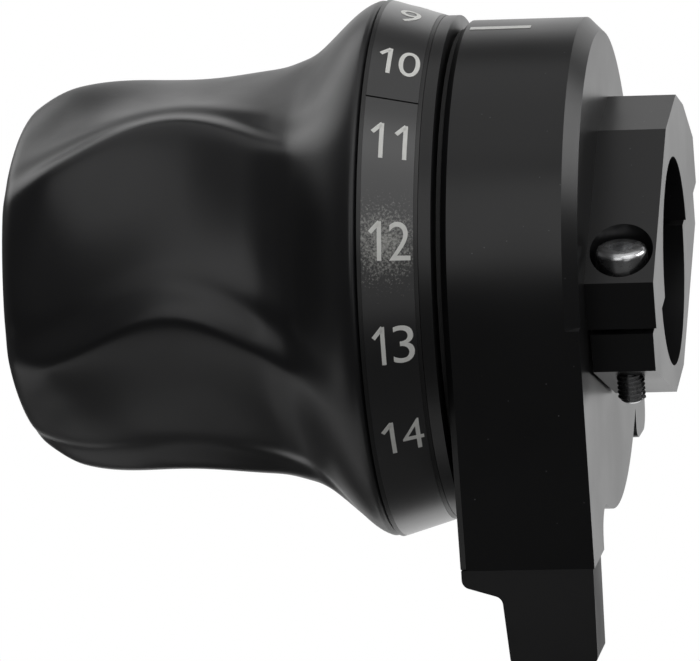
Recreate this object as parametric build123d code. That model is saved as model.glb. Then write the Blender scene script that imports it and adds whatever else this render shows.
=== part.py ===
from build123d import *
from math import cos, exp, hypot, radians, sin
import os

# A twist grip shifter for a fourteen-speed bicycle hub.
# A lobed rubber grip turns a cable drum inside an aluminium housing, and the housing is clamped to the bar.
# X runs along the bar, out of the clamp at +X. Z is up, and -Y faces the reader of the dial.
# The origin is on the bar's axis, at the clamp's outer face. Lengths are millimetres, angles are degrees.

# Handlebar and the stack of tubes on it
BAR_D = 22.2
BAR_FIT = 0.05
BAR_GAP = 0.3
SLEEVE_WALL = 1.0
RUN_FIT = 0.05
BUSH_WALL = 0.95
PRESS_FIT = 0.02
CORE_WALL = 1.8
BUSH_L = 10.0

# Lengths along the bar, from the clamp to the grip's end
CLAMP_W = 7.3
HOUSING_W = 14.3
DIAL_GAP = 0.85
RIM_W = 1.3
DIAL_W = 6.25
GRIP_L = 40.3
END_WALL = 2.2
HUB_L = 3.5
HUB_WALL = 1.8
SLEEVE_LIP = 0.8
FACE_GAP = 0.1

# Cable drum and housing, outward from the cable
CABLE_R = 21.3
GROOVE_DEEP = 0.8
GROOVE_W = 1.6
GROOVE_OPEN = 2.6
DRUM_RISE = 1.5
DRUM_CLEAR = 0.7
DRUM_END_GAP = 0.7
HOUSING_WALL = 2.8
FRONT_GROOVE_IN = 3.1
GROOVE_PITCH = 4.5
NIPPLE_D = 4.2
NIPPLE_DEEP = 4.4
NIPPLE_WALL = 0.5
HOUSING_CHAMFER = 1.5
CHAMFER_PAST = 14.0
RIM_CHAMFER = 0.7

# Cable outlets: a front tail that leads down and away, and a shorter rear one
TAIL_SLANT = 16.0
TAIL_L = 25.3
REAR_SLANT = 8.0
REAR_DROP = 3.6
REAR_T = 8.4
OUTLET_ROUND = 2.2
OUTLET_WEB = 3.0
WEB_SHARE = 0.485
CASING_D = 5.0
CASING_FIT = 0.1
WIRE_HOLE_D = 2.0
STOP_L = 5.9
STOP_UP = 0.6
STOP_SOCKET = 4.0
STOP_SOCKET_D = 4.2

# Cable cap on the end of the tail, set straighter down than the tail
CAP_SLANT = 10.0
CAP_T = 8.6
CAP_L = 10.5
CAP_SHOULDER = 1.7
CAP_NECK_IN = 4.2
CAP_SLOPE = 1.3
CAP_TAPER = 0.6
CAP_ROUND = 1.0
CAP_REAR_ROUND = 2.0
CAP_SIDE_GAP = 0.15
CAP_SCREW_D = 2.5
CAP_SCREW_IN = 2.3
CAP_SCREW_GRIP = 6.5
CAP_SCREW_HEAD_D = 4.0
CAP_SCREW_HEAD_H = 1.3
CAP_FLOOR = 1.1

# Clamp: an upper half in one piece with the housing and a cap under it
SPLIT_TILT = 20.0
SPLIT_GAP = 0.6
CLAMP_CROWN = 4.05
CROWN_FRONT = 0.3
CROWN_REAR = 10.0
REAR_SLOPE = 3.3
CLAMP_SOLE = 2.4
SOLE_HALF = 3.8
LUG_EDGE = 4.1
LUG_UP = 5.5
LUG_DOWN = 4.5
REAR_LUG_UP = 5.6
REAR_LUG_MORE = 2.5
CLAMP_CAP_GAP = 0.3
CLAMP_CAP_INSET = 0.4
SCREW_D = 3.0
SCREW_FIT = 0.1
SCREW_WALL = 2.95
SCREW_SEAT = 5.3
SCREW_L = 14.8
SCREW_HEAD_D = 5.5
SCREW_HEAD_H = 2.7
SCREW_SOCKET_AF = 2.5
SCREW_SOCKET_DEEP = 1.4
COUNTERBORE_D = 6.7

# Dial: a rim on the core, a ring seated behind it, and a label laid into the ring
RIM_RISE = 0.6
DIAL_TAPER = 1.9
DIAL_T = 2.4
SEAT_GAP = 0.05
LABEL_T = 0.25
LABEL_EDGE = 0.4
LABEL_SEAM_AT = 40.8
LABEL_SEAM = 0.4

# Grip rubber: six lobes whose crests swing up and back along the grip, with a scoop between each two
BODY_R = 20.6
END_DROP = 4.2
END_DROP_L = 6.0
END_ROUND = 1.6
END_LIP = 3.0
END_LIP_GAP = 0.9
FLARE_L = 11.0
PEAK_ROUND = 0.9
RUBBER_T = 4.3
LOBES = 6
LOBE_H = 1.4
LOBE_START_L = 9.0
LOBE_FADE_FROM = 10.0
LOBE_FADE_L = 9.5
CREST_ROUND = 0.12
CREST_AT = 26.7
CREST_SWING = 21.9
CREST_PEAK_AT = 18.6
CREST_SPREAD = 12.5
SECTIONS = 17
LOBE_POINTS = 10

# Small rings and fasteners
RING_T = 0.8
RING_H = 1.3
RING_BITE = 0.4
RING_OPEN = 40.0
RING_EDGE = 0.8
WASHER_T = 0.5
WASHER_H = 1.5
SEAL_W = 1.1
SEAL_PROUD = 0.5
SEAL_DEEP = 1.0
SEAL_IN = 0.75
DRUM_SCREWS = 3
DRUM_SCREW_D = 2.0
DRUM_SCREW_IN = 2.4
DRUM_SCREW_HEAD_D = 3.6
DRUM_SCREW_HEAD_H = 1.2
DRUM_SCREW_GRIP = 5.0
DRUM_SCREW_AT = 30.0

# Radii that follow
bore_r = BAR_D / 2 + BAR_FIT
sleeve_in = BAR_D / 2 + BAR_GAP
sleeve_r = sleeve_in + SLEEVE_WALL
bush_in = sleeve_r + RUN_FIT
bush_r = bush_in + BUSH_WALL
core_in = bush_r + PRESS_FIT
core_r = core_in + CORE_WALL
groove_r = CABLE_R - GROOVE_DEEP
drum_r = CABLE_R + DRUM_RISE
cavity_r = drum_r + DRUM_CLEAR
housing_r = cavity_r + HOUSING_WALL
rim_r = housing_r + RIM_RISE
dial_low_r = rim_r
dial_high_r = rim_r + DIAL_TAPER
seat_r = rim_r - DIAL_T
casing_hole_r = CASING_D / 2 + CASING_FIT
drum_screw_r = core_r + DRUM_SCREW_IN

# Stations along X that follow
housing_face = -CLAMP_W
housing_rim = housing_face - HOUSING_W
cavity_floor = housing_face - END_WALL
hub_end = cavity_floor - HUB_L
sleeve_seat = housing_face - SLEEVE_LIP
core_end = hub_end - WASHER_T - 2 * FACE_GAP
drum_end = cavity_floor - DRUM_END_GAP
rim_face = housing_rim - DIAL_GAP
dial_right = rim_face - RIM_W
dial_left = dial_right - DIAL_W
grip_end = dial_left - GRIP_L
core_start = grip_end + END_LIP
washer_at = core_start - FACE_GAP - WASHER_T
ring_at = washer_at - FACE_GAP - RING_T
sleeve_end = ring_at - RING_EDGE
front_groove = drum_end - FRONT_GROOVE_IN
rear_groove = front_groove - GROOVE_PITCH


def turned(*points):
    """Turn an outline of (x, radius) points about the bar's axis."""
    return revolve(make_face(Polyline(*points, close=True)), Axis.X)


def ring(left, right, inner, outer):
    """A plain ring on the bar's axis."""
    return turned((left, inner), (right, inner), (right, outer), (left, outer))


def across(sketch, left, right):
    """Push a sketch drawn in the (Y, Z) plane from one station along X to another."""
    return extrude(Plane.YZ.offset(left) * sketch, right - left)


def rod(left, right, radius, y=0.0, z=0.0):
    """A round rod along X."""
    return across(Pos(y, z) * Circle(radius), left, right)


def upright(x, y, low, high, radius):
    """A round rod along Z, drawn before its frame is tilted about the bar."""
    return Pos(x, y, (low + high) / 2) * Cylinder(radius, high - low)


def tilted(shape, angle):
    """Tilt a shape about the bar's axis, its foot moving away from the reader."""
    return Rot(X=angle) * shape


def smooth(t):
    """Rise from 0 to 1 with a level start and end."""
    t = min(max(t, 0.0), 1.0)
    return t * t * (3 - 2 * t)


# Housing and clamp

def slanted(y, z, angle):
    """A point of the (Y, Z) plane after it is tilted about the bar's axis."""
    return (y * cos(radians(angle)) - z * sin(radians(angle)), y * sin(radians(angle)) + z * cos(radians(angle)))


def stepped(point, y, z, angle):
    """A point reached from another by a step in a frame tilted about the bar."""
    step = slanted(y, z, angle)
    return (point[0] + step[0], point[1] + step[1])


tail_top = slanted(-housing_r, 0, TAIL_SLANT)
tail_foot = slanted(-housing_r, -TAIL_L, TAIL_SLANT)
tail_heel = stepped(tail_foot, CAP_T, 0, CAP_SLANT)
rear_in = housing_r - REAR_T
rear_l = (housing_r ** 2 - rear_in ** 2) ** 0.5 + REAR_DROP


def housing_outline():
    """The housing's outline in the (Y, Z) plane: a circle, a tail faired into it, and the rear outlet."""
    inside = stepped(tail_heel, 0, TAIL_L / 2, CAP_SLANT)
    outline = Circle(housing_r) + make_face(Polyline(tail_top, tail_foot, tail_heel, inside, close=True))
    corner = outline.vertices().sort_by_distance(stepped(tail_heel, 0, OUTLET_WEB, CAP_SLANT))
    web = [vertex for vertex in corner[:2] if vertex.Y > tail_heel[1] + OUTLET_WEB / 2]
    wall = hypot(web[0].X - tail_heel[0], web[0].Y - tail_heel[1])
    outline = fillet(web, min(OUTLET_WEB, WEB_SHARE * wall))
    rear = Pos((housing_r + rear_in) / 2, -rear_l / 2) * Rectangle(REAR_T, rear_l)
    rear = fillet(rear.vertices().sort_by(Axis.Y)[:2], OUTLET_ROUND)
    return outline + Rot(Z=REAR_SLANT) * rear


def clamp_half(points):
    """One half of the clamp's outline with the bar's bore out of it, before it is tilted."""
    outline = make_face(Polyline(*points, close=True))
    return outline - Circle(bore_r)


screw_y = bore_r + SCREW_WALL + SCREW_D / 2 + SCREW_FIT
lug_y = screw_y + LUG_EDGE
rear_lug_y = lug_y + REAR_LUG_MORE
crown_z = bore_r + CLAMP_CROWN
sole_z = bore_r + CLAMP_SOLE
split_z = SPLIT_GAP / 2
screw_x = -CLAMP_W / 2


def turned_edge(x, size, past):
    """The chamfer turned off an outer corner at x, from the rear outlet over the top to past the front."""
    corner = make_face(Polyline((x + size, housing_r), (x, housing_r - abs(size)), (x, housing_r), close=True))
    return Rot(X=-REAR_SLANT) * revolve(corner, Axis.X, 180 + REAR_SLANT + past)


def make_housing():
    """The turned and milled housing: a cup for the drum, two cable outlets and the clamp's upper half."""
    body = across(housing_outline(), housing_rim, housing_face)
    body -= turned_edge(housing_face, -HOUSING_CHAMFER, CHAMFER_PAST)
    body -= turned_edge(housing_rim, RIM_CHAMFER, TAIL_SLANT)
    edge = make_face(Polyline(
        (housing_rim, -housing_r), (housing_rim + RIM_CHAMFER, -housing_r), (housing_rim, RIM_CHAMFER - housing_r),
        close=True,
    ))
    body -= tilted(extrude(edge, -TAIL_L - CAP_T), TAIL_SLANT)

    upper = clamp_half([
        (-lug_y, split_z), (-lug_y, LUG_UP), (-CROWN_FRONT, crown_z), (CROWN_REAR, crown_z),
        (lug_y - LUG_EDGE, crown_z - REAR_SLOPE), (rear_lug_y, REAR_LUG_UP), (rear_lug_y, split_z),
    ])
    clamp = across(upper, housing_face - SLEEVE_LIP, 0)
    for y in (-screw_y, screw_y):
        clamp -= upright(screw_x, y, 0, crown_z, SCREW_D / 2 + SCREW_FIT)
        clamp -= upright(screw_x, y, SCREW_SEAT, 2 * crown_z, COUNTERBORE_D / 2)
    body += tilted(clamp, SPLIT_TILT)

    body -= rod(housing_rim, cavity_floor, cavity_r)
    body += ring(hub_end, cavity_floor, sleeve_r, sleeve_r + HUB_WALL)
    body -= rod(hub_end, sleeve_seat, sleeve_r + PRESS_FIT)
    body -= rod(hub_end, housing_face, bore_r)
    seal_in = cavity_r + SEAL_IN
    body -= ring(housing_rim, housing_rim + SEAL_DEEP, seal_in - PRESS_FIT, seal_in + SEAL_W + PRESS_FIT)

    front = upright(front_groove, -CABLE_R, stop_foot, 0, WIRE_HOLE_D / 2)
    front += upright(front_groove, -CABLE_R, -TAIL_L - CAP_T, stop_foot + STOP_L, casing_hole_r)
    body -= tilted(front, TAIL_SLANT)
    body -= on_tail(upright(cap_screw_x, cap_screw_y, 0, CAP_SCREW_GRIP, CAP_SCREW_D / 2 + PRESS_FIT))
    back = upright(rear_groove, CABLE_R, -rear_l, 0, WIRE_HOLE_D / 2)
    back += upright(rear_groove, CABLE_R, -rear_l, STOP_L - rear_l, casing_hole_r)
    return body - tilted(back, REAR_SLANT)


def make_clamp_cap():
    """The clamp's lower half, drawn up against the bar by the two screws threaded into it."""
    lower = clamp_half([
        (-lug_y, -split_z), (rear_lug_y, -split_z), (rear_lug_y, -LUG_DOWN), (SOLE_HALF, -sole_z),
        (-SOLE_HALF, -sole_z), (-lug_y, -LUG_DOWN),
    ])
    cap = across(lower, housing_face + CLAMP_CAP_GAP, -CLAMP_CAP_INSET)
    for y in (-screw_y, screw_y):
        cap -= upright(screw_x, y, -sole_z, 0, SCREW_D / 2 + PRESS_FIT)
    return tilted(cap, SPLIT_TILT)


def make_clamp_screws():
    """Two socket head screws, heads down in the upper half and ends out below the cap."""
    screws = []
    for y in (-screw_y, screw_y):
        screw = upright(screw_x, y, SCREW_SEAT - SCREW_L, SCREW_SEAT, SCREW_D / 2)
        head = upright(screw_x, y, SCREW_SEAT, SCREW_SEAT + SCREW_HEAD_H, SCREW_HEAD_D / 2)
        head = fillet(head.edges().group_by(Axis.Z)[-1], SCREW_HEAD_H / 6)
        top = SCREW_SEAT + SCREW_HEAD_H
        socket = RegularPolygon(SCREW_SOCKET_AF / 2, 6, major_radius=False)
        screw += head
        screw -= Pos(screw_x, y, top) * extrude(socket, -SCREW_SOCKET_DEEP)
        screws.append(tilted(screw, SPLIT_TILT))
    return Compound(children=[solid for screw in screws for solid in screw.solids()])


# Cable outlets

cap_left = housing_rim + CAP_SIDE_GAP
cap_right = housing_face - CAP_SIDE_GAP
cap_screw_x = cap_left + CAP_SCREW_IN
cap_screw_y = CAP_T / 2
casing_y = (housing_r - CABLE_R) / cos(radians(TAIL_SLANT - CAP_SLANT))
stop_foot = (housing_r - CABLE_R - casing_hole_r) * sin(radians(TAIL_SLANT - CAP_SLANT)) - TAIL_L + STOP_UP


def on_tail(shape):
    """Set a shape on the tail's foot: Y runs back from the foot's front corner, Z along the cap."""
    return Pos(0, *tail_foot) * Rot(X=CAP_SLANT) * shape


def make_cable_cap():
    """The moulded cap below the tail: a shoulder as wide as the tail and a narrower neck for the casing."""
    neck = cap_left + CAP_NECK_IN
    profile = make_face(Polyline(
        (cap_left, 0), (cap_right, 0), (cap_right, -CAP_L), (neck + CAP_TAPER, -CAP_L),
        (neck, -CAP_SHOULDER - CAP_SLOPE), (cap_left, -CAP_SHOULDER), close=True,
    ))
    corners = profile.vertices().filter_by(lambda vertex: vertex.Y < -CAP_SHOULDER / 2)
    profile = fillet(corners, CAP_ROUND)
    cap = Pos(0, CAP_T, 0) * extrude(Plane.XZ * profile, CAP_T)
    plan = Pos((cap_left + cap_right) / 2, CAP_T / 2) * Rectangle(cap_right - cap_left, CAP_T)
    plan = fillet(plan.vertices().sort_by(Axis.Y)[-2:], CAP_REAR_ROUND)
    cap &= extrude(plan, -CAP_L)
    cap -= upright(front_groove, casing_y, -CAP_L, 0, casing_hole_r + CASING_FIT)
    cap -= upright(cap_screw_x, cap_screw_y, -CAP_L, 0, CAP_SCREW_D / 2 + SCREW_FIT)
    cap -= upright(cap_screw_x, cap_screw_y, -CAP_L, -CAP_FLOOR, CAP_SCREW_HEAD_D / 2 + SCREW_FIT)
    return on_tail(cap)


def make_cap_screw():
    """The one screw that holds the cap, driven up through its shoulder into the tail."""
    screw = upright(cap_screw_x, cap_screw_y, -CAP_FLOOR, CAP_SCREW_GRIP - FACE_GAP, CAP_SCREW_D / 2)
    screw += upright(cap_screw_x, cap_screw_y, -CAP_FLOOR - CAP_SCREW_HEAD_H, -CAP_FLOOR, CAP_SCREW_HEAD_D / 2)
    slot = Pos(cap_screw_x, cap_screw_y, -CAP_FLOOR - CAP_SCREW_HEAD_H) * Box(CAP_SCREW_HEAD_D, 0.6, 1.0)
    return on_tail(screw - slot)


def make_cable_stop(x, y, foot, slant):
    """A turned ferrule: the casing ends in its socket and the bare wire goes on through."""
    stop = upright(x, y, foot, foot + STOP_L - FACE_GAP, CASING_D / 2 + CASING_FIT - PRESS_FIT)
    stop -= upright(x, y, foot, foot + STOP_SOCKET, STOP_SOCKET_D / 2)
    stop -= upright(x, y, foot, foot + STOP_L, WIRE_HOLE_D / 2)
    return tilted(stop, slant)


# Turning parts

cone_left = dial_left - FLARE_L
grip_seat_r = dial_high_r - RUBBER_T


def make_grip_core():
    """The stiff core under the rubber: a tube, a flared skirt, the dial's seat and a rim by the housing."""
    core = turned(
        (core_start, core_in), (core_end, core_in), (core_end, core_r), (rim_face, core_r), (rim_face, rim_r),
        (dial_right, rim_r), (dial_right, seat_r), (dial_left, seat_r), (dial_left, grip_seat_r),
        (dial_left - RIM_W, grip_seat_r), (cone_left, core_r), (core_start, core_r),
    )
    for x, y, z in drum_screw_places():
        core -= rod(rim_face - DRUM_SCREW_GRIP, rim_face, DRUM_SCREW_D / 2 + PRESS_FIT, y, z)
    return core


def crest_angle(along):
    """Angle of one crest up from the reader's side, at a distance from the grip's end."""
    return CREST_AT + CREST_SWING * exp(-((along - CREST_PEAK_AT) / CREST_SPREAD) ** 2)


def grip_radius(along, from_crest):
    """Radius of the rubber at a distance from the grip's end and an angle from a crest."""
    mean = BODY_R - END_DROP * exp(-along / END_DROP_L)
    mean += (dial_high_r - BODY_R) * smooth((along - GRIP_L + FLARE_L) / FLARE_L)
    height = LOBE_H * smooth((along + END_LIP) / LOBE_START_L)
    height *= 1 - smooth((along - GRIP_L + LOBE_FADE_FROM) / LOBE_FADE_L)
    fall = hypot(sin(radians(LOBES * from_crest / 2)), CREST_ROUND) - CREST_ROUND
    return mean + height * (1 - 2 * fall)


def grip_section(along):
    """One closed section of the rubber across the bar, its points counted from a crest."""
    points = []
    for i in range(LOBES * LOBE_POINTS):
        from_crest = 360 * i / (LOBES * LOBE_POINTS)
        radius = grip_radius(along, from_crest)
        angle = from_crest + crest_angle(along)
        points.append((-radius * cos(radians(angle)), radius * sin(radians(angle))))
    return Plane.YZ.offset(grip_end + along) * make_face(Spline(*points, periodic=True))


def outside_round(x, radius, size):
    """What lies outside a quarter round on the right-hand outer corner of a turned piece."""
    arc = RadiusArc((x - size, radius), (x, radius - size), size)
    rest = Polyline((x, radius - size), (x + size, radius - size), (x + size, radius + size),
                    (x - size, radius + size), (x - size, radius))
    return revolve(make_face([arc, rest]), Axis.X)


def make_grip_rubber():
    """The soft grip: six swept lobes with thumb hollows between them, flared up to the dial."""
    rubber = loft([grip_section(GRIP_L * i / SECTIONS) for i in range(SECTIONS + 1)])
    rubber = fillet(rubber.edges().group_by(Axis.X)[0], END_ROUND)
    rubber -= outside_round(dial_left, dial_high_r, PEAK_ROUND)
    rubber -= rod(grip_end, core_start, sleeve_r + RING_H + END_LIP_GAP)
    return rubber - turned(
        (core_start, 0), (dial_left, 0), (dial_left, grip_seat_r + PRESS_FIT),
        (dial_left - RIM_W, grip_seat_r + PRESS_FIT), (cone_left, core_r + PRESS_FIT),
        (core_start, core_r + PRESS_FIT),
    )


def dial_radius(x):
    """Outer radius of the dial's shallow cone at a station along X."""
    return dial_low_r + DIAL_TAPER * (dial_right - x) / DIAL_W


def dial_band(left, right, depth):
    """The outline of a band laid along the dial's cone, its top on the cone."""
    return [
        (left, dial_radius(left) - depth), (right, dial_radius(right) - depth),
        (right, dial_radius(right)), (left, dial_radius(left)),
    ]


def make_number_ring():
    """The dial ring on the core's seat, with a shallow bed for the label."""
    left = dial_left + SEAT_GAP
    right = dial_right - SEAT_GAP
    body = turned(
        (left, seat_r + PRESS_FIT), (right, seat_r + PRESS_FIT),
        (right, dial_radius(right)), (left, dial_radius(left)),
    )
    return body - turned(*dial_band(left + LABEL_EDGE, right - LABEL_EDGE, LABEL_T))


def make_dial_label():
    """The printed strip that runs round the dial, its two ends meeting at a fine seam."""
    left = dial_left + SEAT_GAP + LABEL_EDGE + PRESS_FIT
    right = dial_right - SEAT_GAP - LABEL_EDGE - PRESS_FIT
    lift = PRESS_FIT
    strip = [(x, r + lift) for x, r in dial_band(left, right, LABEL_T)]
    band = revolve(make_face(Polyline(*strip, close=True)), Axis.X, 360 - LABEL_SEAM)
    return Rot(X=180 - LABEL_SEAM_AT + LABEL_SEAM / 2) * band


def drum_screw_places():
    """Where the drum's screws stand: the head's seat along X, and its place across the bar."""
    seat = drum_end - DRUM_SCREW_HEAD_H - FACE_GAP
    places = []
    for i in range(DRUM_SCREWS):
        angle = radians(DRUM_SCREW_AT + 360 * i / DRUM_SCREWS)
        places.append((seat, drum_screw_r * cos(angle), drum_screw_r * sin(angle)))
    return places


def groove(x):
    """The trapezoid groove that one cable lies in."""
    top = drum_r + DRUM_CLEAR
    half = GROOVE_W / 2
    half_open = GROOVE_OPEN / 2
    return turned((x - half, groove_r), (x + half, groove_r), (x + half_open, top), (x - half_open, top))


def make_cable_drum():
    """The drum screwed to the core: two cable grooves, each with a pocket for the nipple on its wire."""
    drum = ring(rim_face, drum_end, core_r + PRESS_FIT, drum_r)
    drum -= groove(front_groove)
    drum -= groove(rear_groove)
    nipple_r = drum_r - NIPPLE_WALL - NIPPLE_D / 2
    drum -= rod(drum_end - NIPPLE_DEEP, drum_end, NIPPLE_D / 2, nipple_r, 0)
    drum -= rod(rim_face, rim_face + NIPPLE_DEEP, NIPPLE_D / 2, -nipple_r, 0)
    for seat, y, z in drum_screw_places():
        drum -= rod(rim_face, drum_end, DRUM_SCREW_D / 2 + SCREW_FIT, y, z)
        drum -= rod(seat, drum_end, DRUM_SCREW_HEAD_D / 2 + SCREW_FIT, y, z)
    return drum


def make_drum_screws():
    """Cap screws that draw the drum against the core's rim."""
    screws = []
    for seat, y, z in drum_screw_places():
        screw = rod(rim_face - DRUM_SCREW_GRIP + FACE_GAP, seat, DRUM_SCREW_D / 2, y, z)
        screw += rod(seat, seat + DRUM_SCREW_HEAD_H, DRUM_SCREW_HEAD_D / 2, y, z)
        screws += screw.solids()
    return Compound(children=screws)


# Tube, bushes and rings

def make_inner_sleeve():
    """The fixed tube that the grip turns on, pressed into the housing's hub, grooved for its ring."""
    sleeve = ring(sleeve_end, sleeve_seat, sleeve_in, sleeve_r)
    slot_left = ring_at - PRESS_FIT
    slot_right = ring_at + RING_T + PRESS_FIT
    return sleeve - ring(slot_left, slot_right, sleeve_r - RING_BITE, sleeve_r + RING_H)


def make_retaining_ring():
    """The open spring ring that keeps the grip on its tube."""
    full = ring(ring_at, ring_at + RING_T, sleeve_r - RING_BITE + PRESS_FIT, sleeve_r + RING_H)
    reach = 2 * sleeve_r
    half = reach * sin(radians(RING_OPEN / 2))
    wedge = make_face(Polyline((0, 0), (-half, -reach), (half, -reach), close=True))
    return full - across(wedge, ring_at, ring_at + RING_T)


def make_washer(left):
    """A thin thrust washer on the fixed tube."""
    return ring(left, left + WASHER_T, sleeve_r + RUN_FIT, sleeve_r + WASHER_H)


def make_seal():
    """The dust seal set in the housing's rim, standing up towards the core."""
    inner = cavity_r + SEAL_IN
    return ring(housing_rim - SEAL_PROUD, housing_rim + SEAL_DEEP - PRESS_FIT, inner, inner + SEAL_W)


def main():
    os.makedirs("parts", exist_ok=True)
    nodes = {
        "housing": make_housing(),
        "clamp_cap": make_clamp_cap(),
        "clamp_screws": make_clamp_screws(),
        "cable_cap": make_cable_cap(),
        "cap_screw": make_cap_screw(),
        "front_cable_stop": make_cable_stop(front_groove, -CABLE_R, stop_foot, TAIL_SLANT),
        "rear_cable_stop": make_cable_stop(rear_groove, CABLE_R, -rear_l, REAR_SLANT),
        "inner_sleeve": make_inner_sleeve(),
        "retaining_ring": make_retaining_ring(),
        "outer_thrust_washer": make_washer(washer_at),
        "inner_thrust_washer": make_washer(core_end + FACE_GAP),
        "dust_seal": make_seal(),
        "grip_rubber": make_grip_rubber(),
        "grip_core": make_grip_core(),
        "outer_bush": ring(core_start, core_start + BUSH_L, bush_in, bush_r),
        "inner_bush": ring(core_end - BUSH_L, core_end, bush_in, bush_r),
        "number_ring": make_number_ring(),
        "dial_label": make_dial_label(),
        "cable_drum": make_cable_drum(),
        "drum_screws": make_drum_screws(),
    }
    for name, shape in nodes.items():
        export_step(shape, f"parts/{name}.step")
        print(name, round(shape.volume, 1))


main()
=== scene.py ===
# %% [markdown]
# # A bicycle twist grip shifter
# The solids come in at their real size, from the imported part, and stay where they are. This lesson gives
# them their finishes, swaps two of them for finer pieces (the rubber grip and the clamp's screws), prints
# the numbers on the dial, and sets up a small studio. X runs along the handlebar, out of the clamp. Z is
# up, and the dial is read from the -Y side. Blender's unit is the metre, so most sizes below are written
# in millimetres and multiplied by MM.

# %% Load the part
import math

import bmesh
import bpy
from mathutils import Matrix, Vector


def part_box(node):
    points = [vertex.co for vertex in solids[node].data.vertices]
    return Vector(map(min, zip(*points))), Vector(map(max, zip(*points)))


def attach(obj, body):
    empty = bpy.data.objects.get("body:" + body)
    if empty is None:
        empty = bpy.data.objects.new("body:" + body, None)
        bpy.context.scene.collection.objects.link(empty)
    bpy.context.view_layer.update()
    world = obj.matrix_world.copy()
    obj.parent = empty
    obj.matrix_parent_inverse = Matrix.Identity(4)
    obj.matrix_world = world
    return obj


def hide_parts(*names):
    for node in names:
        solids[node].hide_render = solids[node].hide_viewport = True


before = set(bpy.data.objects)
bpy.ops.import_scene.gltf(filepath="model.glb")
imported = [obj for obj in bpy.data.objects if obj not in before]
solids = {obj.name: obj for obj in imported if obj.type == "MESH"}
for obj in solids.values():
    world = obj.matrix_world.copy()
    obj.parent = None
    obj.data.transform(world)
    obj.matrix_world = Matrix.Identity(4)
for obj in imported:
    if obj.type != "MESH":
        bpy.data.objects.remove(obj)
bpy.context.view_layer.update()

MM = 0.001

# %% [markdown]
# ## Small helpers
# Colours are written as the hex values that a colour picker gives. Shader sockets want linear light, so
# one function turns hex to linear. A second function adds a node, sets it up and links it, because every
# finish is a short chain of nodes and the same three lines would come again each time. A third starts a
# finish with its shader.
#
# Inputs go by name where the name is clear, and by number where several inputs share one. A Mix node of
# colours takes its factor at 0 and its two colours at 6 and 7, and gives the mixed colour at output 2.
# Map Range takes a value at 0, the span that it comes from at 1 and 2, and the span that it goes to at 3
# and 4.

# %% Colour and node helpers
def linear(hex_value):
    """An sRGB hex colour as the linear RGBA that shader sockets hold."""
    parts = [int(hex_value[i:i + 2], 16) / 255 for i in (1, 3, 5)]
    return [c / 12.92 if c <= 0.04045 else ((c + 0.055) / 1.055) ** 2.4 for c in parts] + [1.0]


def add(tree, kind, inputs=None, **settings):
    """Add a node. An input is given a value, or an output socket to be linked from."""
    node = tree.nodes.new(kind)
    for name, value in settings.items():
        setattr(node, name, value)
    for name, value in (inputs or {}).items():
        if isinstance(value, bpy.types.NodeSocket):
            tree.links.new(value, node.inputs[name])
        else:
            node.inputs[name].default_value = value
    return node


def start_finish(name):
    """A new material with only a shader and its output, and Object coordinates to lay patterns by."""
    material = bpy.data.materials.new(name)
    material.use_nodes = True
    tree = material.node_tree
    tree.nodes.clear()
    shader = add(tree, "ShaderNodeBsdfPrincipled")
    add(tree, "ShaderNodeOutputMaterial", {"Surface": shader.outputs[0]})
    place = add(tree, "ShaderNodeTexCoord").outputs["Object"]
    return material, tree, shader, place


print("middle grey in linear light:", [round(c, 3) for c in linear("#808080")])

# %% [markdown]
# ## Grip rubber
# The grip is a thermoplastic rubber, moulded in a lightly blasted tool. The skin is satin: light from
# above spreads into broad soft patches and never shows a sharp highlight. A fine grain in the bump breaks
# the sheen, and a slow change in roughness stands for the polish that hands leave on the ridges. The
# grain of the tool, about 0.1 mm, is too fine to show in this picture, so it is drawn at 0.35 mm.

# %% Moulded grip rubber
GRAIN_MM, HANDLED_MM = 0.35, 9.0
moulded_rubber, tree, shader, place = start_finish("moulded_grip_rubber")
grain = add(tree, "ShaderNodeTexNoise", {"Vector": place, "Scale": 1 / (GRAIN_MM * MM), "Detail": 2.0})
handled = add(tree, "ShaderNodeTexNoise", {"Vector": place, "Scale": 1 / (HANDLED_MM * MM), "Detail": 3.0})
shades = {0: handled.outputs[0], 6: linear("#18181a"), 7: linear("#1e1e1f")}
tint = add(tree, "ShaderNodeMix", shades, data_type="RGBA")
polish = add(tree, "ShaderNodeMapRange", {0: handled.outputs[0], 1: 0.3, 2: 0.7, 3: 0.31, 4: 0.39})
bump = add(tree, "ShaderNodeBump", {"Strength": 0.25, "Distance": 0.02 * MM, "Height": grain.outputs[0]})
tree.links.new(tint.outputs[2], shader.inputs["Base Color"])
tree.links.new(polish.outputs[0], shader.inputs["Roughness"])
tree.links.new(bump.outputs[0], shader.inputs["Normal"])
shader.inputs["IOR"].default_value = 1.5
print("made", moulded_rubber.name)

# %% [markdown]
# ## Anodised housing
# The housing and the clamp are milled from aluminium, blasted with fine beads and anodised black. The
# dyed oxide is a thin glassy layer, so the surface is nearly black head-on and turns pale where it is
# seen at a flat angle. Its refractive index is set at 1.5, under that of solid oxide, because the layer
# is full of fine pores. The bead marks, about 0.05 mm wide, are drawn at 0.25 mm to show at all. A few
# pale specks of dust lie on it, as they do in the picture.

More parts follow.
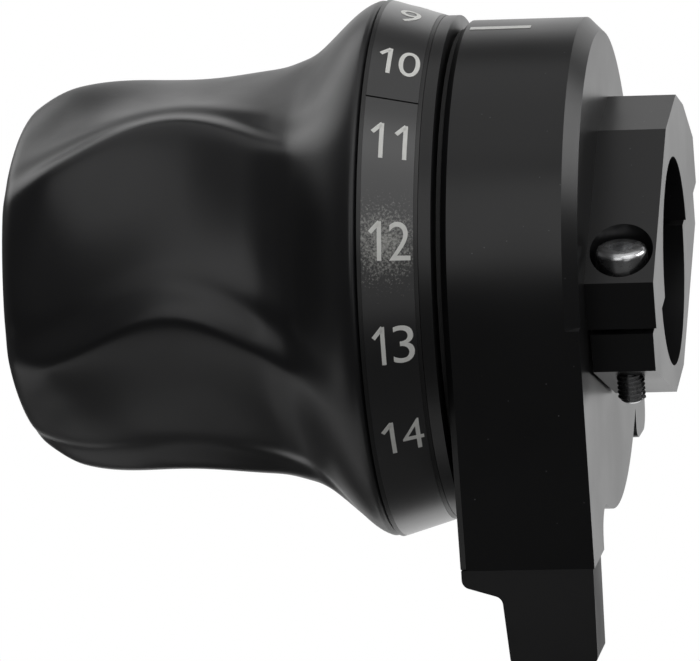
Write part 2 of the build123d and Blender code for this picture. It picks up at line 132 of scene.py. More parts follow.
# %% Blasted and anodised aluminium
BEAD_MM, DYE_MM, SPECK_MM = 0.25, 12.0, 1.6
anodised, tree, shader, place = start_finish("blasted_black_anodised_aluminium")
bead = add(tree, "ShaderNodeTexNoise", {"Vector": place, "Scale": 1 / (BEAD_MM * MM), "Detail": 2.0})
cloud = add(tree, "ShaderNodeTexNoise", {"Vector": place, "Scale": 1 / (DYE_MM * MM), "Detail": 3.0})
shades = {0: cloud.outputs[0], 6: linear("#101011"), 7: linear("#151516")}
dye = add(tree, "ShaderNodeMix", shades, data_type="RGBA")
specks = add(tree, "ShaderNodeTexVoronoi", {"Vector": place, "Scale": 1 / (SPECK_MM * MM), "Randomness": 1.0})
dust = add(tree, "ShaderNodeMapRange", {0: specks.outputs["Distance"], 1: 0.05, 2: 0.03, 3: 0.0, 4: 0.5})
shades = {0: dust.outputs[0], 6: dye.outputs[2], 7: linear("#77777a")}
skin = add(tree, "ShaderNodeMix", shades, data_type="RGBA")
sheen = add(tree, "ShaderNodeMapRange", {0: cloud.outputs[0], 1: 0.3, 2: 0.7, 3: 0.3, 4: 0.35})
bump = add(tree, "ShaderNodeBump", {"Strength": 0.2, "Distance": 0.01 * MM, "Height": bead.outputs[0]})
tree.links.new(skin.outputs[2], shader.inputs["Base Color"])
tree.links.new(sheen.outputs[0], shader.inputs["Roughness"])
tree.links.new(bump.outputs[0], shader.inputs["Normal"])
shader.inputs["IOR"].default_value = 1.5
print("made", anodised.name)

# %% [markdown]
# ## Moulded pieces
# The cable cap is glass-filled nylon with a fine spark-eroded texture, a matt black. The dial ring and
# the core's rim are ABS from a polished tool, a little shinier. The drum inside is acetal, dyed grey, the
# bushes and washers are white acetal, and the dust seal is nitrile rubber, the mattest of all. The five
# are one shader, each with its own colour, roughness and grain. The grain, a tenth of a millimetre or
# less on the real pieces, is drawn a few times coarser so that it shows.

# %% Moulded nylon, ABS, acetal and nitrile
CLOUD_MM = 8.0
moulded = {}
for name, dark, pale, low, high, grain_mm, depth in (
    ("spark_textured_black_nylon", "#141415", "#1a1a1b", 0.5, 0.6, 0.3, 0.02),
    ("polished_black_abs", "#161616", "#1b1b1c", 0.3, 0.38, 0.5, 0.004),
    ("grey_acetal", "#3a3b3c", "#434445", 0.35, 0.45, 0.5, 0.004),
    ("white_acetal", "#d6d3c9", "#dedbd2", 0.35, 0.45, 0.5, 0.004),
    ("matt_nitrile_rubber", "#101010", "#161616", 0.65, 0.75, 0.3, 0.01),
):
    material, tree, shader, place = start_finish(name)
    grain = add(tree, "ShaderNodeTexNoise", {"Vector": place, "Scale": 1 / (grain_mm * MM), "Detail": 2.0})
    cloud = add(tree, "ShaderNodeTexNoise", {"Vector": place, "Scale": 1 / (CLOUD_MM * MM), "Detail": 2.0})
    shades = {0: cloud.outputs[0], 6: linear(dark), 7: linear(pale)}
    tint = add(tree, "ShaderNodeMix", shades, data_type="RGBA")
    sheen = add(tree, "ShaderNodeMapRange", {0: cloud.outputs[0], 1: 0.3, 2: 0.7, 3: low, 4: high})
    bump = add(tree, "ShaderNodeBump", {"Strength": 0.3, "Distance": depth * MM, "Height": grain.outputs[0]})
    tree.links.new(tint.outputs[2], shader.inputs["Base Color"])
    tree.links.new(sheen.outputs[0], shader.inputs["Roughness"])
    tree.links.new(bump.outputs[0], shader.inputs["Normal"])
    shader.inputs["IOR"].default_value = 1.52
    moulded[name] = material
print("made", list(moulded))

# %% [markdown]
# ## Bare metals
# The clamp's screws are bright zinc-plated steel and catch the light. The spring ring and the hidden
# screws are blackened steel, the cable stops are turned brass, and the inner tube is drawn aluminium.
# Each is a metal shader whose roughness wanders a little, as tool marks and handling make it.

# %% Steel, brass and bare aluminium
MARKS_MM = 1.2
metals = {}
for name, dark, pale, low, high in (
    ("zinc_plated_steel", "#c6c7c8", "#dededf", 0.2, 0.32),
    ("blackened_steel", "#2c2c2e", "#3a3a3c", 0.35, 0.5),
    ("turned_brass", "#b08f4c", "#c4a561", 0.22, 0.34),
    ("drawn_aluminium", "#b3b4b6", "#c3c4c6", 0.28, 0.4),
):
    material, tree, shader, place = start_finish(name)
    marks = add(tree, "ShaderNodeTexNoise", {"Vector": place, "Scale": 1 / (MARKS_MM * MM), "Detail": 3.0})
    shades = {0: marks.outputs[0], 6: linear(dark), 7: linear(pale)}
    tint = add(tree, "ShaderNodeMix", shades, data_type="RGBA")
    sheen = add(tree, "ShaderNodeMapRange", {0: marks.outputs[0], 1: 0.3, 2: 0.7, 3: low, 4: high})
    tree.links.new(tint.outputs[2], shader.inputs["Base Color"])
    tree.links.new(sheen.outputs[0], shader.inputs["Roughness"])
    shader.inputs["Metallic"].default_value = 1.0
    metals[name] = material
print("made", list(metals))

# %% [markdown]
# ## Dial label
# The label is a strip of printed film under a clear lacquer, which is the shader's coat. It is dark grey
# and smooth enough to mirror the lamps softly. Where the thumb runs, around gear 12, the gloss is
# scuffed, and a soft sheen of reflected light is painted over the same spot. Both go into the film's
# colour as pale grit-like specks that crowd together there and thin out round it, so the patch is partly
# real wear and partly painted sheen. A soft ball round that spot, measured in Object coordinates, says
# how many specks to let through.

# %% Printed and scuffed film
SCUFF_AND_SHEEN_AT = Vector((-27.2, -27.6, 3.4)) * MM
SCUFF_AND_SHEEN_MM, GRIT_MM = 7.5, 0.25
film, tree, shader, place = start_finish("glossy_printed_film")
from_scuff_and_sheen = add(tree, "ShaderNodeVectorMath", {0: place, 1: SCUFF_AND_SHEEN_AT}, operation="DISTANCE")
ball = {0: from_scuff_and_sheen.outputs["Value"], 1: 0.0, 2: SCUFF_AND_SHEEN_MM * MM, 3: 1.0, 4: 0.0}
near = add(tree, "ShaderNodeMapRange", ball)
speckle = {"Vector": place, "Scale": 1 / (GRIT_MM * MM), "Detail": 4.0, "Roughness": 0.7}
grit = add(tree, "ShaderNodeTexNoise", speckle)
crowd = add(tree, "ShaderNodeMapRange", {0: near.outputs[0], 1: 0.0, 2: 1.0, 3: 0.72, 4: 0.3})
worn_and_sheen = add(tree, "ShaderNodeMath", {0: grit.outputs[0], 1: crowd.outputs[0]}, operation="SUBTRACT")
scuff_and_sheen = add(tree, "ShaderNodeMapRange", {0: worn_and_sheen.outputs[0], 1: 0.0, 2: 0.25, 3: 0.0, 4: 0.75})
# Painted sheen: this pale colour is partly real scuff and grit, and partly a soft reflection painted into the
# film.
shades = {0: scuff_and_sheen.outputs[0], 6: linear("#1a1a1b"), 7: linear("#b5b5b0")}
base = add(tree, "ShaderNodeMix", shades, data_type="RGBA")
gloss = add(tree, "ShaderNodeMapRange", {0: scuff_and_sheen.outputs[0], 1: 0.0, 2: 0.75, 3: 0.3, 4: 0.6})
tree.links.new(base.outputs[2], shader.inputs["Base Color"])
tree.links.new(gloss.outputs[0], shader.inputs["Roughness"])
shader.inputs["IOR"].default_value = 1.55
shader.inputs["Coat Weight"].default_value = 0.5
shader.inputs["Coat IOR"].default_value = 1.6
shader.inputs["Coat Roughness"].default_value = 0.3
print("made", film.name)

# %% [markdown]
# ## Ink and paint
# The numbers are screen-printed in light grey, and the index line on the housing is filled with white
# paint. Ink lies thin and a little uneven, so a fine noise lets its grey vary.

# %% Screen ink and paint
COVER_MM = 0.6
inks = {}
for name, dark, pale, rough in (
    ("light_grey_screen_ink", "#dadad6", "#eaeae6", 0.4),
    ("white_fill_paint", "#d5d5d2", "#e2e2df", 0.5),
):
    material, tree, shader, place = start_finish(name)
    cover = add(tree, "ShaderNodeTexNoise", {"Vector": place, "Scale": 1 / (COVER_MM * MM), "Detail": 3.0})
    shades = {0: cover.outputs[0], 6: linear(dark), 7: linear(pale)}
    tint = add(tree, "ShaderNodeMix", shades, data_type="RGBA")
    tree.links.new(tint.outputs[2], shader.inputs["Base Color"])
    shader.inputs["Roughness"].default_value = rough
    inks[name] = material
print("made", list(inks))

# %% [markdown]
# ## A finish for every solid
# The table reads like a parts list. A solid that a finer piece stands for later gets its finish here too.

# %% Put the finishes on
finishes = {
    "housing": anodised, "clamp_cap": anodised, "clamp_screws": metals["zinc_plated_steel"],
    "cable_cap": moulded["spark_textured_black_nylon"], "cap_screw": metals["blackened_steel"],
    "front_cable_stop": metals["turned_brass"], "rear_cable_stop": metals["turned_brass"],
    "inner_sleeve": metals["drawn_aluminium"], "retaining_ring": metals["blackened_steel"],
    "outer_thrust_washer": moulded["white_acetal"], "inner_thrust_washer": moulded["white_acetal"],
    "dust_seal": moulded["matt_nitrile_rubber"], "grip_rubber": moulded_rubber,
    "grip_core": moulded["polished_black_abs"], "outer_bush": moulded["white_acetal"],
    "inner_bush": moulded["white_acetal"], "number_ring": moulded["polished_black_abs"], "dial_label": film,
    "cable_drum": moulded["grey_acetal"], "drum_screws": metals["blackened_steel"],
}
for node, finish in finishes.items():
    solids[node].data.materials.clear()
    solids[node].data.materials.append(finish)
print(len(finishes), "solids finished, left without:", set(solids) - set(finishes))

# %% [markdown]
# ## The rubber grip
# On the real grip six crests run along the rubber, with a scoop between each two. They swing up and back
# in an S, and fade out where the grip flares up to the dial. A shallow groove lies just above each crest.
# The solid shows this with few faces. Here the same form is made fine enough for soft light: one outline
# is spun round the bar, and the points of the outer skin are then drawn out or in to the crest's height.
# Sculpting would also work, but a rule for the radius keeps the skin on the solid.
#
# The flare's rise is averaged over a short reach at its root, so that it starts without a line across the
# rubber.

# %% Radius of the rubber
grip_low, grip_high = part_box("grip_rubber")
GRIP_END, GRIP_RIGHT = grip_low.x / MM, grip_high.x / MM
GRIP_L = GRIP_RIGHT - GRIP_END
BODY_R, PEAK_R, FLARE_L, ROOT_SOFT = 20.6, 28.8, 11.0, 2.5
END_DROP, END_TAPER = 4.2, 6.0
CREST_UP, SWING_UP, SWING_AT, SWING_W = 26.7, 21.9, 18.6, 12.5
LOBES, LOBE_H, CREST_ROUND = 6, 1.4, 0.12
LOBE_LEAD, LOBE_RISE, FADE_LEAD, FADE_L = 3.0, 9.0, 10.0, 9.5
SCOOP_RISE, SCOOP_FROM, SCOOP_L = 0.2, 20.0, 10.0
GROOVE, GROOVE_AT, GROOVE_W = 0.3, 9.0, 5.0


def rise(t):
    """From 0 to 1 with a level start and end."""
    t = min(max(t, 0.0), 1.0)
    return t * t * (3 - 2 * t)


def crest_angle(along):
    """Angle of one crest up from the reader's side, at a distance from the grip's end."""
    return math.radians(CREST_UP + SWING_UP * math.exp(-((along - SWING_AT) / SWING_W) ** 2))


def skin_radius(along, from_crest):
    """Radius of the rubber at a distance from the grip's end and an angle from a crest, in mm."""
    flare_at = along - GRIP_L + FLARE_L
    reach = ROOT_SOFT * (1 - rise(flare_at / (FLARE_L / 2)))
    flare = sum(rise((flare_at + reach * k / 2) / FLARE_L) for k in (-2, -1, 0, 1, 2)) / 5
    radius = BODY_R - END_DROP * math.exp(-along / END_TAPER) + (PEAK_R - BODY_R) * flare
    height = LOBE_H * rise((along + LOBE_LEAD) / LOBE_RISE)
    height *= 1 - rise((along - GRIP_L + FADE_LEAD) / FADE_L)
    fall = math.hypot(math.sin(LOBES * from_crest / 2), CREST_ROUND) - CREST_ROUND
    fall *= 1 - SCOOP_RISE * rise((along - SCOOP_FROM) / SCOOP_L)
    past_crest = math.degrees(from_crest) % (360 / LOBES)
    groove = GROOVE * math.exp(-((past_crest - GROOVE_AT) / GROOVE_W) ** 2)
    return radius + height * (1 - 2 * fall - groove)


print("grip", round(GRIP_L, 2), "mm long, crest", round(skin_radius(SWING_AT, 0), 2), "mm from the axis")

# %% [markdown]
# The outline holds, for each point, its place along the bar and how far it lies below the skin. The
# rounded end and the rounded peak are quarter circles in it. Points of the bore and the seat have a
# radius of their own and aren't moved; a depth of -1 marks them.

# %% Outline of the grip
SKIN_STEPS, TURN_STEPS, ROUND_STEPS = 84, 288, 8
END_ROUND, PEAK_ROUND, END_BORE_R, LEAST_WALL = 1.6, 0.9, 14.6, 0.05
SEAT_R, SEAT_L, CORE_R, LIP_L = 24.52, 1.3, 15.24, 3.0
NOT_SKIN = -1.0
quarter = [math.radians(90 * i / ROUND_STEPS) for i in range(ROUND_STEPS + 1)]
straight = GRIP_L - END_ROUND - PEAK_ROUND
outline = [(END_ROUND * (1 - math.cos(a)), END_ROUND * (1 - math.sin(a))) for a in quarter[:-1]]
outline += [(END_ROUND + straight * i / SKIN_STEPS, 0.0) for i in range(SKIN_STEPS + 1)]
outline += [(GRIP_L - PEAK_ROUND * (1 - math.sin(a)), PEAK_ROUND * (1 - math.cos(a))) for a in quarter[1:]]
inside = [(GRIP_L, SEAT_R), (GRIP_L - SEAT_L, SEAT_R), (GRIP_L - FLARE_L, CORE_R), (LIP_L, CORE_R),
          (LIP_L, END_BORE_R), (0.0, END_BORE_R)]
print("grip outline:", len(outline), "points of skin and", len(inside), "inside")

# %% [markdown]
# A mesh becomes an object the same way each time, so a helper does it: edges bent by more than a given
# angle stay hard, the finish goes on, and the object sits at the origin with its place in the mesh.

# %% Spin the grip and draw its crests
def settle(bm, name, finish, hard_from=None):
    """Make a finished bmesh an object at the origin. Edges bent by hard_from degrees or more stay hard."""
    mesh = bpy.data.meshes.new(name)
    bm.to_mesh(mesh)
    bm.free()
    if hard_from is not None:
        mesh.set_sharp_from_angle(angle=math.radians(hard_from))
    mesh.materials.append(finish)
    piece = bpy.data.objects.new(name, mesh)
    bpy.context.scene.collection.objects.link(piece)
    return piece


bm = bmesh.new()
below = bm.verts.layers.float.new("below_skin")
points = []
for along, depth in outline:
    vert = bm.verts.new(((GRIP_END + along) * MM, -BODY_R * MM, 0))
    vert[below] = depth
    points.append(vert)
for along, radius in inside:
    vert = bm.verts.new(((GRIP_END + along) * MM, -radius * MM, 0))
    vert[below] = NOT_SKIN
    points.append(vert)
edges = [bm.edges.new((points[i - 1], points[i])) for i in range(len(points))]
bmesh.ops.spin(bm, geom=points + edges, cent=(0, 0, 0), axis=(1, 0, 0), angle=2 * math.pi, steps=TURN_STEPS,
               use_merge=True)
for vert in bm.verts:
    if vert[below] >= 0:
        along = vert.co.x / MM - GRIP_END
        from_crest = math.atan2(vert.co.z, -vert.co.y)
        radius = max(skin_radius(along, from_crest) - vert[below], END_BORE_R + LEAST_WALL) * MM
        angle = from_crest + crest_angle(along)
        vert.co.y, vert.co.z = -radius * math.cos(angle), radius * math.sin(angle)
bmesh.ops.remove_doubles(bm, verts=bm.verts, dist=0.001 * MM)
bmesh.ops.recalc_face_normals(bm, faces=bm.faces)
for face in bm.faces:
    face.smooth = True
grip_skin = settle(bm, "grip_skin", moulded_rubber, hard_from=40)
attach(grip_skin, "twist_grip")
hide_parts("grip_rubber")
print("grip skin:", len(grip_skin.data.polygons), "faces")

# %% [markdown]
# ## Numbers on the dial
# Fourteen gears are printed round the dial, 22.6 degrees apart, and they read along the bar. The figure 1
# is two bars, because the one on the dial has a plain slanted flag. Every other figure starts as a text
# curve in the built-in typeface, with a little thickness, and is made a mesh. Each figure is cut into
# narrow strips so that it can bend, and laid on the dial's shallow cone. Figures could also be painted
# into the film's material, but then their edges would be as coarse as the picture that holds them.

# %% Draw a figure
NUMBER_H, DIGIT_W, STROKE, INK_T = 4.1, 2.25, 0.45, 0.03
ONE_BARS = ((NUMBER_H, 0.0, 0.35, 0.0), (1.5, -42.0, -0.12, NUMBER_H / 2 - 0.62))


def flagged_one(bm):
    """The figure 1, round the origin: an upright bar and a short flag that hangs from its top."""
    for long, lean, x, y in ONE_BARS:
        bar = bmesh.ops.create_cube(bm, size=1.0)["verts"]
        bmesh.ops.scale(bm, verts=bar, vec=(STROKE, long, INK_T))
        bmesh.ops.rotate(bm, verts=bar, cent=(0, 0, 0), matrix=Matrix.Rotation(math.radians(lean), 3, "Z"))
        bmesh.ops.translate(bm, verts=bar, vec=(x, y, 0))


def figure(bm, digit):
    """Any other figure, round the origin, from the built-in typeface."""
    curve = bpy.data.curves.new("figure", "FONT")
    curve.body = digit
    curve.extrude = 0.01
    curve.offset = -0.004
    curve.resolution_u = 6
    letters = bpy.data.objects.new("figure", curve)
    bpy.context.scene.collection.objects.link(letters)
    bpy.context.view_layer.update()
    flat = bpy.data.meshes.new_from_object(letters.evaluated_get(bpy.context.evaluated_depsgraph_get()))
    bm.from_mesh(flat)
    bpy.data.objects.remove(letters)
    bpy.data.curves.remove(curve)
    bpy.data.meshes.remove(flat)
    bmesh.ops.remove_doubles(bm, verts=bm.verts, dist=1e-5)
    lows = [min(v.co[k] for v in bm.verts) for k in range(3)]
    highs = [max(v.co[k] for v in bm.verts) for k in range(3)]
    bmesh.ops.translate(bm, verts=bm.verts, vec=[-(a + b) / 2 for a, b in zip(lows, highs)])
    sizes = [b - a for a, b in zip(lows, highs)]
    fit = (DIGIT_W / sizes[0], NUMBER_H / sizes[1], INK_T / sizes[2])
    bmesh.ops.scale(bm, verts=bm.verts, vec=fit)


print("figures", NUMBER_H, "mm high and up to", DIGIT_W, "mm wide")

# %% [markdown]
# A number is set round the dial by its angle and along the bar by its digits' places. Turning height into
# angle bends it, and the cone's radius lays it on the film, with a part of the ink's thickness sunk in.

# %% Print the numbers
DIAL_RIGHT, DIAL_W, DIAL_R, DIAL_TAPER, FILM_GAP = -23.75, 6.25, 26.9, 1.9, 0.02
NUMBER_X, DIGIT_STEP, SQUEEZE, INK_PROUD = -26.8, 2.5, 0.965, 0.4
GEARS, GEAR_STEP, GEAR_12_AT, STRIPS = 14, 22.6, 7.4, 12


def cone_radius(x):
    """Radius of the film on the dial at a station along the bar, in mm."""
    return DIAL_R + DIAL_TAPER * (DIAL_RIGHT - x) / DIAL_W + FILM_GAP


bm = bmesh.new()
for gear in range(1, GEARS + 1):
    digits = str(gear)
    at = math.radians(GEAR_12_AT + (12 - gear) * GEAR_STEP)
    for i, digit in enumerate(digits):
        one = bmesh.new()
        if digit == "1":
            flagged_one(one)
        else:
            figure(one, digit)
        for k in range(1, STRIPS):
            cut = NUMBER_H * (k / STRIPS - 0.5)
            everything = one.verts[:] + one.edges[:] + one.faces[:]
            bmesh.ops.bisect_plane(one, geom=everything, dist=1e-6, plane_co=(0, cut, 0), plane_no=(0, 1, 0))
        aside = (i - (len(digits) - 1) / 2) * DIGIT_STEP
        for vert in one.verts:
            u, v, w = vert.co
            x = NUMBER_X + (u + aside) * SQUEEZE
            radius = cone_radius(x) + w + INK_T * INK_PROUD
            angle = at + v / cone_radius(NUMBER_X)
            vert.co = Vector((x, -radius * math.cos(angle), radius * math.sin(angle))) * MM
        bmesh.ops.recalc_face_normals(one, faces=one.faces)
        bent = bpy.data.meshes.new("figure")
        one.to_mesh(bent)
        one.free()
        bm.from_mesh(bent)
        bpy.data.meshes.remove(bent)
dial_numbers = settle(bm, "dial_numbers", inks["light_grey_screen_ink"])
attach(dial_numbers, "twist_grip")
print("numbers:", len(dial_numbers.data.polygons), "faces")

# %% [markdown]
# ## Index line
# A short white line on top of the housing shows which gear is set. It is a thin bar, laid on the round of
# the housing near the top, just proud of the surface as fill paint is.

# %% Paint the index line
LINE_AT, LINE_X, LINE_L, LINE_W, LINE_T, LINE_EDGE = 75.0, -17.2, 6.5, 1.0, 0.05, 0.01
HOUSING_R = 26.3
bm = bmesh.new()
bmesh.ops.create_cube(bm, size=1.0)
bmesh.ops.scale(bm, verts=bm.verts, vec=(LINE_L * MM, LINE_W * MM, LINE_T * MM))
bmesh.ops.bevel(bm, geom=bm.edges[:], offset=LINE_EDGE * MM, segments=1, profile=0.5, affect="EDGES",
                material=-1)
bmesh.ops.translate(bm, verts=bm.verts, vec=(LINE_X * MM, 0, (HOUSING_R + LINE_T / 4) * MM))
to_line = Matrix.Rotation(math.radians(90 - LINE_AT), 3, "X")
bmesh.ops.rotate(bm, verts=bm.verts, cent=(0, 0, 0), matrix=to_line)
index_line = settle(bm, "index_line", inks["white_fill_paint"])
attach(index_line, "fixed")
print("index line:", len(index_line.data.polygons), "faces")

# %% [markdown]
# ## The clamp's screws
# Two socket head screws draw the clamp shut. One end shows its thread below the clamp. A thread is a
# tooth that turns and climbs at the same time, which is what spin does when it is given a step along the
# axis. The head is spun from its outline. Its top is filled between the rim and a hexagon, which is then
# pushed down as the socket. The screw is drawn in millimetres along Z.

# %% Spin the head and its socket
SEAT, HEAD_H, HEAD_R, HEAD_ROUND, HEAD_EDGE = 5.3, 2.7, 2.75, 0.75, 0.1
SHANK_R, SOCKET_AF, SOCKET_DEEP = 1.5, 2.5, 1.4
SCREW_STEPS, HEAD_ROUND_STEPS = 48, 6
HEAD_TOP = SEAT + HEAD_H


def spin_outline(bm, outline):
    """Spin an open outline of radius and height once round Z."""
    verts = [bm.verts.new((r, 0, z)) for r, z in outline]
    edges = [bm.edges.new(pair) for pair in zip(verts, verts[1:])]
    bmesh.ops.spin(bm, geom=verts + edges, cent=(0, 0, 0), axis=(0, 0, 1), angle=2 * math.pi,
                   steps=SCREW_STEPS, use_merge=True)


def rim_at_top(bm):
    """Open edges in the plane of the head's top."""
    return [e for e in bm.edges if e.is_boundary and all(abs(v.co.z - HEAD_TOP) < 1e-4 for v in e.verts)]


bm = bmesh.new()
head = [(SHANK_R, SEAT), (HEAD_R - HEAD_EDGE, SEAT), (HEAD_R, SEAT + HEAD_EDGE),
        (HEAD_R, HEAD_TOP - HEAD_ROUND)]
for i in range(1, HEAD_ROUND_STEPS + 1):
    a = math.radians(90 * i / HEAD_ROUND_STEPS)
    head.append((HEAD_R - HEAD_ROUND * (1 - math.cos(a)), HEAD_TOP - HEAD_ROUND * (1 - math.sin(a))))
spin_outline(bm, head)
rim = rim_at_top(bm)
made = bmesh.ops.create_circle(bm, segments=6, radius=SOCKET_AF / 2 / math.cos(math.pi / 6))
bmesh.ops.translate(bm, verts=made["verts"], vec=(0, 0, HEAD_TOP))
hexagon = list({e for v in made["verts"] for e in v.link_edges})
bmesh.ops.triangle_fill(bm, edges=rim + hexagon, use_beauty=True, normal=(0, 0, 1))
pushed = bmesh.ops.extrude_edge_only(bm, edges=rim_at_top(bm))["geom"]
low = [g for g in pushed if isinstance(g, bmesh.types.BMVert)]
bmesh.ops.translate(bm, verts=low, vec=(0, 0, -SOCKET_DEEP))
bmesh.ops.edgeloop_fill(bm, edges=[g for g in pushed if isinstance(g, bmesh.types.BMEdge)])
print("screw head:", len(bm.faces), "faces")

# %% [markdown]
# The shank is spun in one piece down to its bevelled tip, at the thread's root. The tooth then winds up
# round it, a little sunk into the root so that no gap shows. Its two ends are closed.

# %% Spin the shank and wind the thread
TIP, TIP_BEVEL, ROOT_R, PITCH = -9.5, (0.3, 0.25), 1.2, 0.5
THREAD_FROM, RUN_OUT, THREAD_TURNS, TURN_PARTS = -0.6, 0.3, 16.5, 32
THREAD_LOW, TOOTH_SUNK, TOOTH_SHY = TIP + 0.1, 0.05, 0.02
spin_outline(bm, [(SHANK_R, SEAT), (SHANK_R, THREAD_FROM), (ROOT_R, THREAD_FROM - RUN_OUT),
                  (ROOT_R, TIP + TIP_BEVEL[1]), (ROOT_R - TIP_BEVEL[0], TIP), (0.0, TIP)])
tooth = [(ROOT_R - TOOTH_SUNK, 0.0), (SHANK_R - TOOTH_SHY, PITCH * 0.42), (SHANK_R - TOOTH_SHY, PITCH * 0.5),
         (ROOT_R - TOOTH_SUNK, PITCH * 0.92)]
verts = [bm.verts.new((r, 0, THREAD_LOW + z)) for r, z in tooth]
edges = [bm.edges.new((verts[i - 1], verts[i])) for i in range(len(verts))]
steps = round(THREAD_TURNS * TURN_PARTS)
wound = bmesh.ops.spin(bm, geom=verts + edges, cent=(0, 0, 0), axis=(0, 0, 1), steps=steps,
                       angle=2 * math.pi * THREAD_TURNS, dvec=(0, 0, PITCH * THREAD_TURNS / steps))
bmesh.ops.contextual_create(bm, geom=edges)
bmesh.ops.contextual_create(bm, geom=[g for g in wound["geom_last"] if isinstance(g, bmesh.types.BMEdge)])
bmesh.ops.remove_doubles(bm, verts=bm.verts, dist=1e-4)
bmesh.ops.recalc_face_normals(bm, faces=bm.faces)
print("screw:", len(bm.faces), "faces, open edges", sum(e.is_boundary for e in bm.edges))

# %% [markdown]
# The second screw is a copy of the first on the other lug. Both are then tilted with the clamp's split
# and scaled from millimetres to metres, in the mesh, so that the object itself stays at the origin.

# %% Set the two screws
SCREW_X, SCREW_Y, SPLIT_TILT = -3.65, 15.7, 20.0
twin = bmesh.ops.duplicate(bm, geom=bm.verts[:] + bm.edges[:] + bm.faces[:])["geom"]
second = [g for g in twin if isinstance(g, bmesh.types.BMVert)]
bmesh.ops.translate(bm, verts=second, vec=(0, 2 * SCREW_Y, 0))
bmesh.ops.translate(bm, verts=bm.verts, vec=(SCREW_X, -SCREW_Y, 0))
to_split = Matrix.Rotation(math.radians(SPLIT_TILT), 3, "X")
bmesh.ops.rotate(bm, verts=bm.verts, cent=(0, 0, 0), matrix=to_split)
bmesh.ops.scale(bm, verts=bm.verts, vec=(MM, MM, MM))
for face in bm.faces:
    face.smooth = True
threaded_screws = settle(bm, "threaded_screws", metals["zinc_plated_steel"], hard_from=35)
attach(threaded_screws, "fixed")
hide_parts("clamp_screws")
print("screws:", len(threaded_screws.data.polygons), "faces")

# %% [markdown]
# ## Floor
# The shifter hangs well above a plain pale floor of paper. The camera sees the paper nearly white,
# through Light Path, and the last few percent still take the object's shadow. As a light it is only as
# bright as grey paper, so that the underside of the rubber stays dark, as it is in the picture.

# %% Lay the floor
FLOOR_Z, FLOOR_HALF, FIBRE_MM, FLOOR_PALE = -1.0, 9.0, 40.0, 0.97
paper, tree, shader, place = start_finish("white_paper")
fibres = add(tree, "ShaderNodeTexNoise", {"Vector": place, "Scale": 1 / (FIBRE_MM * MM), "Detail": 2.0})
shades = {0: fibres.outputs[0], 6: linear("#b2b2b2"), 7: linear("#b8b8b8")}
tint = add(tree, "ShaderNodeMix", shades, data_type="RGBA")
tree.links.new(tint.outputs[2], shader.inputs["Base Color"])
shader.inputs["Roughness"].default_value = 0.9
rays = add(tree, "ShaderNodeLightPath")
seen = add(tree, "ShaderNodeMapRange", {0: rays.outputs["Is Camera Ray"], 4: FLOOR_PALE})
glow = add(tree, "ShaderNodeEmission", {"Color": (1, 1, 1, 1), "Strength": 1.0})
pale = add(tree, "ShaderNodeMixShader", {0: seen.outputs[0], 1: shader.outputs[0], 2: glow.outputs[0]})
tree.links.new(pale.outputs[0], tree.nodes["Material Output"].inputs["Surface"])
bm = bmesh.new()
bmesh.ops.create_grid(bm, x_segments=1, y_segments=1, size=FLOOR_HALF)
bmesh.ops.translate(bm, verts=bm.verts, vec=(0, 0, FLOOR_Z))
floor = settle(bm, "floor", paper)
print("floor at", FLOOR_Z, "m")

# %% [markdown]
# ## Backdrop
# The picture shows the shifter on plain white. A white sheet stands behind it and curves forward at its
# foot: the camera and mirror-like surfaces see it as pure white, which gives the pale edges on the rubber
# and the film, while as a light it is only as bright as paper. From behind, the sheet is clear, so that
# the back of the shifter can be looked at too.

# %% Hang the backdrop
SHEET_FOOT_Y, SHEET_Y, SHEET_LOW, SHEET_TOP, SHEET_ROUND = 0.95, 1.0, -0.99, 1.34, 0.35
SHEET_LEFT, SHEET_W = -0.6, 1.6
sheet_white, tree, shader, place = start_finish("backlit_white_sheet")
shader.inputs["Base Color"].default_value = linear("#f0f0f0")
shader.inputs["Roughness"].default_value = 0.9
rays = add(tree, "ShaderNodeLightPath").outputs
seen = add(tree, "ShaderNodeMath", {0: rays["Is Camera Ray"], 1: rays["Is Glossy Ray"]}, operation="MAXIMUM")
seen = add(tree, "ShaderNodeMath", {0: seen.outputs[0], 1: rays["Is Transmission Ray"]}, operation="MAXIMUM")
glow = add(tree, "ShaderNodeEmission", {"Color": (1, 1, 1, 1), "Strength": 1.0})
both = add(tree, "ShaderNodeMixShader", {0: seen.outputs[0], 1: shader.outputs[0], 2: glow.outputs[0]})
behind = add(tree, "ShaderNodeNewGeometry").outputs["Backfacing"]
through = add(tree, "ShaderNodeBsdfTransparent")
sheet = add(tree, "ShaderNodeMixShader", {0: behind, 1: both.outputs[0], 2: through.outputs[0]})
tree.links.new(sheet.outputs[0], tree.nodes["Material Output"].inputs["Surface"])
sweep = [(SHEET_FOOT_Y, SHEET_LOW), (SHEET_Y, SHEET_LOW)]
for a in [math.radians(15 * i) for i in range(1, 7)]:
    sweep.append((SHEET_Y + SHEET_ROUND * math.sin(a), SHEET_LOW + SHEET_ROUND * (1 - math.cos(a))))
sweep.append((SHEET_Y + SHEET_ROUND, SHEET_TOP))
bm = bmesh.new()
verts = [bm.verts.new((SHEET_LEFT, y, z)) for y, z in sweep]
edges = [bm.edges.new(pair) for pair in zip(verts, verts[1:])]
wide = bmesh.ops.extrude_edge_only(bm, edges=edges)["geom"]
far = [g for g in wide if isinstance(g, bmesh.types.BMVert)]
bmesh.ops.translate(bm, verts=far, vec=(SHEET_W, 0, 0))
backdrop = settle(bm, "backdrop", sheet_white)
print("backdrop:", len(backdrop.data.polygons), "faces")

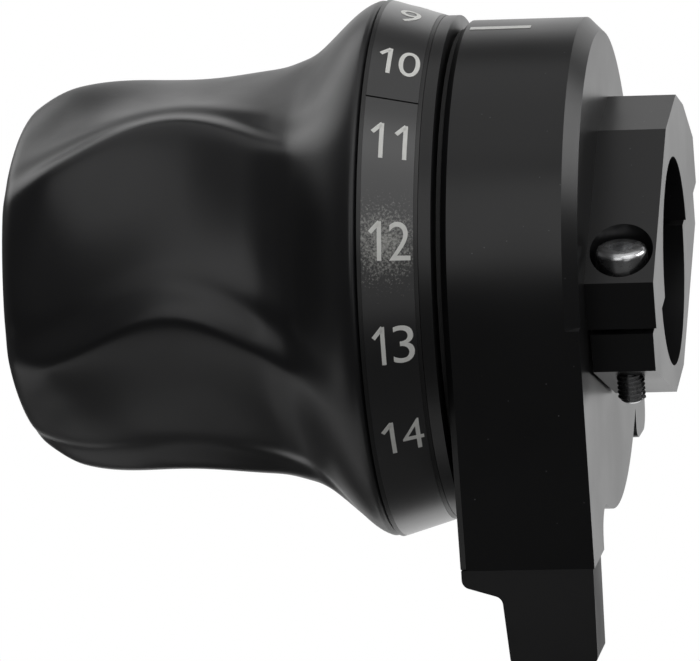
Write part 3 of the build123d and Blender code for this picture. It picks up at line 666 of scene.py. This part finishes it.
# %% [markdown]
# ## Lamps and air
# Black satin surfaces show hardly any colour of their own. What the eye reads on them is the lamps they
# mirror, so each soft box is placed for the surface that mirrors it. Every box is large and weak, which
# keeps the light plain:
# - overhead: the long light on the grip's upper crest and on the flare
# - high_left: the paler end of the grip
# - front: the scoops, which would go quite black without it
# - window and low_window: the film on the dial, and the housing's round
# - side_card: the housing's flat face and the clamp, which look to the right
# - left_card and below: the grip's underside
#
# The world adds a low even grey, and is white to the camera only.

# %% Lamps
def lamp(name, place, aim, wide, high, power):
    """A soft box at a place, aimed at a point; metres and watts."""
    light = bpy.data.lights.new(name, "AREA")
    light.shape = "RECTANGLE"
    light.size = wide
    light.size_y = high
    light.energy = power
    holder = bpy.data.objects.new(name, light)
    holder.location = place
    holder.rotation_euler = (Vector(aim) - Vector(place)).to_track_quat("-Z", "Y").to_euler()
    bpy.context.scene.collection.objects.link(holder)


lamp("overhead", (-0.02, -0.12, 0.5), (-0.02, -0.12, 0), 0.7, 0.6, 0.72)
lamp("high_left", (-0.45, 0.3, 0.33), (-0.04, 0, 0), 0.45, 0.45, 0.8)
lamp("front", (-0.1, -0.54, 0.21), (-0.035, 0, 0), 0.3, 0.46, 0.43)
lamp("window", (0.27, -0.4, 0.36), (-0.03, 0, 0), 0.46, 0.6, 0.85)
lamp("low_window", (0.26, -0.48, -0.08), (-0.03, 0, 0), 0.22, 0.2, 0.07)
lamp("side_card", (0.42, 0.05, 0.27), (-0.01, 0, 0), 0.4, 0.22, 0.8)
lamp("left_card", (-0.48, 0.12, -0.36), (-0.05, 0, 0), 0.4, 0.4, 0.24)
lamp("below", (-0.2, -0.09, -0.39), (-0.2, -0.09, 0), 0.32, 0.22, 0.1)

# %% Air
AIR_LIGHT, AIR_SEEN = 0.09, 1.0
world = bpy.data.worlds.new("studio_air")
bpy.context.scene.world = world
world.use_nodes = True
tree = world.node_tree
tree.nodes.clear()
rays = add(tree, "ShaderNodeLightPath")
levels = {0: rays.outputs["Is Camera Ray"], 1: 0.0, 2: 1.0, 3: AIR_LIGHT, 4: AIR_SEEN}
strength = add(tree, "ShaderNodeMapRange", levels)
air = add(tree, "ShaderNodeBackground", {"Color": (1, 1, 1, 1), "Strength": strength.outputs[0]})
add(tree, "ShaderNodeOutputWorld", {"Surface": air.outputs[0]})
print("air:", world.name)

# %% [markdown]
# ## Camera
# The picture was taken from nine degrees round towards the clamp, almost level, with a long lens. The
# long lens is why the dial's ellipse is so thin.

# %% Camera
AZIMUTH, ELEVATION, DISTANCE, ROLL, LENS = 9.0, 2.0, 0.9, 1.7, 430.9
target = Vector((-35.4, 0, -6.6)) * MM
a, e = math.radians(AZIMUTH), math.radians(ELEVATION)
away = Vector((math.sin(a) * math.cos(e), -math.cos(a) * math.cos(e), math.sin(e)))
camera_data = bpy.data.cameras.new("camera")
camera_data.lens = LENS
camera_data.sensor_width = 36.0
camera_data.clip_end = 20.0
camera = bpy.data.objects.new("camera", camera_data)
camera.location = target + away * DISTANCE
facing = (-away).to_track_quat("-Z", "Y").to_matrix() @ Matrix.Rotation(math.radians(-ROLL), 3, "Z")
camera.rotation_euler = facing.to_euler()
bpy.context.scene.collection.objects.link(camera)
bpy.context.scene.camera = camera
bpy.context.scene.view_settings.view_transform = "Standard"
print("camera at", [round(c, 3) for c in camera.location])
